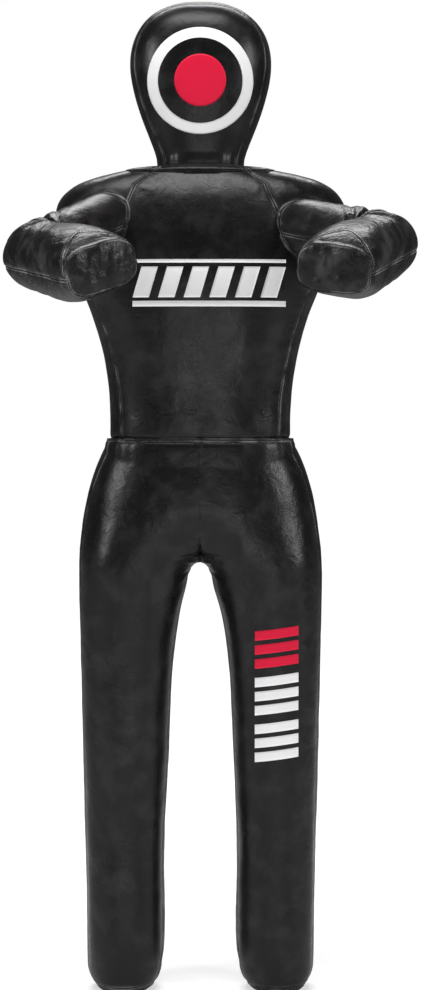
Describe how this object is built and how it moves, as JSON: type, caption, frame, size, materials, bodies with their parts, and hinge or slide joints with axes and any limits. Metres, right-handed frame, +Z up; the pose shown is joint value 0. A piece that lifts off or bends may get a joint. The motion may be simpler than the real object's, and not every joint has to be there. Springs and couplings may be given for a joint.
{
  "type": "body opponent mannequin",
  "caption": "Filled synthetic leather grappling mannequin, standing with both arms bent forward, target on the head, zip up the back",
  "frame": {"origin": "on the floor, at the middle of the mannequin's overall footprint box, under the space between the chest and the hands", "axes": "+Z up; the mannequin faces -Y; +X is the mannequin's left"},
  "size_m": [0.7251, 0.5894, 1.778],
  "materials": {
    "cover_leather": "gloss",
    "textile_filling": "matte",
    "print_white": "satin",
    "print_red": "satin",
    "zip_tape": "matte",
    "zip_teeth": "satin",
    "zip_metal": "satin"
  },
  "bodies": {
    "hips": {"hips_filling": "textile_filling", "hips_front_panel_left": "cover_leather", "hips_front_panel_right": "cover_leather", "hips_back_panel_left": "cover_leather", "hips_back_panel_right": "cover_leather"},
    "torso": {"torso_filling": "textile_filling", "torso_front_panel": "cover_leather", "torso_side_panel_left": "cover_leather", "torso_side_panel_right": "cover_leather", "torso_back_panel_left": "cover_leather", "torso_back_panel_right": "cover_leather", "chest_print": "print_white", "zip_tape_left": "zip_tape", "zip_tape_right": "zip_tape", "zip_teeth_left": "zip_teeth", "zip_teeth_right": "zip_teeth", "zip_stops": "zip_metal"},
    "head": {"head_filling": "textile_filling", "head_front_panel": "cover_leather", "head_side_gusset": "cover_leather", "head_back_panel": "cover_leather", "target_ring": "print_white", "target_centre": "print_red"},
    "zip_slider": {"zip_slider": "zip_metal"},
    "zip_puller": {"zip_puller": "zip_metal"},
    "left_thigh": {"left_thigh_filling": "textile_filling", "left_thigh_front_panel": "cover_leather", "left_thigh_back_panel": "cover_leather", "thigh_print_white": "print_white", "thigh_print_red": "print_red"},
    "left_shin": {"left_shin_filling": "textile_filling", "left_shin_front_panel": "cover_leather", "left_shin_back_panel": "cover_leather", "left_foot_cap": "cover_leather"},
    "left_upper_arm": {"left_upper_arm_filling": "textile_filling", "left_upper_arm_top_panel": "cover_leather", "left_upper_arm_bottom_panel": "cover_leather"},
    "left_forearm": {"left_forearm_filling": "textile_filling", "left_forearm_top_panel": "cover_leather", "left_forearm_bottom_panel": "cover_leather", "left_hand_cap": "cover_leather"},
    "right_thigh": {"right_thigh_filling": "textile_filling", "right_thigh_front_panel": "cover_leather", "right_thigh_back_panel": "cover_leather"},
    "right_shin": {"right_shin_filling": "textile_filling", "right_shin_front_panel": "cover_leather", "right_shin_back_panel": "cover_leather", "right_foot_cap": "cover_leather"},
    "right_upper_arm": {"right_upper_arm_filling": "textile_filling", "right_upper_arm_top_panel": "cover_leather", "right_upper_arm_bottom_panel": "cover_leather"},
    "right_forearm": {"right_forearm_filling": "textile_filling", "right_forearm_top_panel": "cover_leather", "right_forearm_bottom_panel": "cover_leather", "right_hand_cap": "cover_leather"}
  },
  "joints": [
    {"name": "waist_bend", "type": "hinge", "parent": "hips", "child": "torso", "pos_m": [-0.017, 0.175, 0.988], "axis": [1, 0, 0], "range_deg": [-10, 40], "stiffness_Nm_per_rad": 400},
    {"name": "neck_nod", "type": "hinge", "parent": "torso", "child": "head", "pos_m": [-0.017, 0.175, 1.48], "axis": [1, 0, 0], "range_deg": [-20, 25], "stiffness_Nm_per_rad": 40},
    {"name": "left_shoulder_raise", "type": "hinge", "parent": "torso", "child": "left_upper_arm", "pos_m": [0.19, 0.079, 1.356], "axis": [-0.7006, -0.7135, 0], "range_deg": [-20, 35], "stiffness_Nm_per_rad": 60},
    {"name": "left_elbow_bend", "type": "hinge", "parent": "left_upper_arm", "child": "left_forearm", "pos_m": [0.301, -0.03, 1.326], "axis": [-0.0363, 0.2306, -0.9724], "range_deg": [-15, 25], "stiffness_Nm_per_rad": 30},
    {"name": "right_shoulder_raise", "type": "hinge", "parent": "torso", "child": "right_upper_arm", "pos_m": [-0.211, 0.073, 1.358], "axis": [-0.774, 0.6332, 0], "range_deg": [-20, 35], "stiffness_Nm_per_rad": 60},
    {"name": "right_elbow_bend", "type": "hinge", "parent": "right_upper_arm", "child": "right_forearm", "pos_m": [-0.301, -0.037, 1.308], "axis": [-0.2162, -0.2519, 0.9433], "range_deg": [-15, 25], "stiffness_Nm_per_rad": 30},
    {"name": "left_hip_bend", "type": "hinge", "parent": "hips", "child": "left_thigh", "pos_m": [0.094, 0.175, 0.8], "axis": [-1, 0, 0], "range_deg": [-15, 60], "stiffness_Nm_per_rad": 300},
    {"name": "left_knee_bend", "type": "hinge", "parent": "left_thigh", "child": "left_shin", "pos_m": [0.119, 0.175, 0.372], "axis": [1, 0, 0], "range_deg": [0, 45], "stiffness_Nm_per_rad": 200},
    {"name": "right_hip_bend", "type": "hinge", "parent": "hips", "child": "right_thigh", "pos_m": [-0.128, 0.175, 0.8], "axis": [-1, 0, 0], "range_deg": [-15, 60], "stiffness_Nm_per_rad": 300},
    {"name": "right_knee_bend", "type": "hinge", "parent": "right_thigh", "child": "right_shin", "pos_m": [-0.153, 0.175, 0.372], "axis": [1, 0, 0], "range_deg": [0, 45], "stiffness_Nm_per_rad": 200},
    {"name": "zip_slide", "type": "slide", "parent": "torso", "child": "zip_slider", "axis": [0, 0, -1], "range_m": [0, 0.24]},
    {"name": "zip_pull_flip", "type": "hinge", "parent": "zip_slider", "child": "zip_puller", "pos_m": [-0.017, 0.2826, 1.381], "axis": [1, 0, 0], "range_deg": [0, 160]}
  ]
}
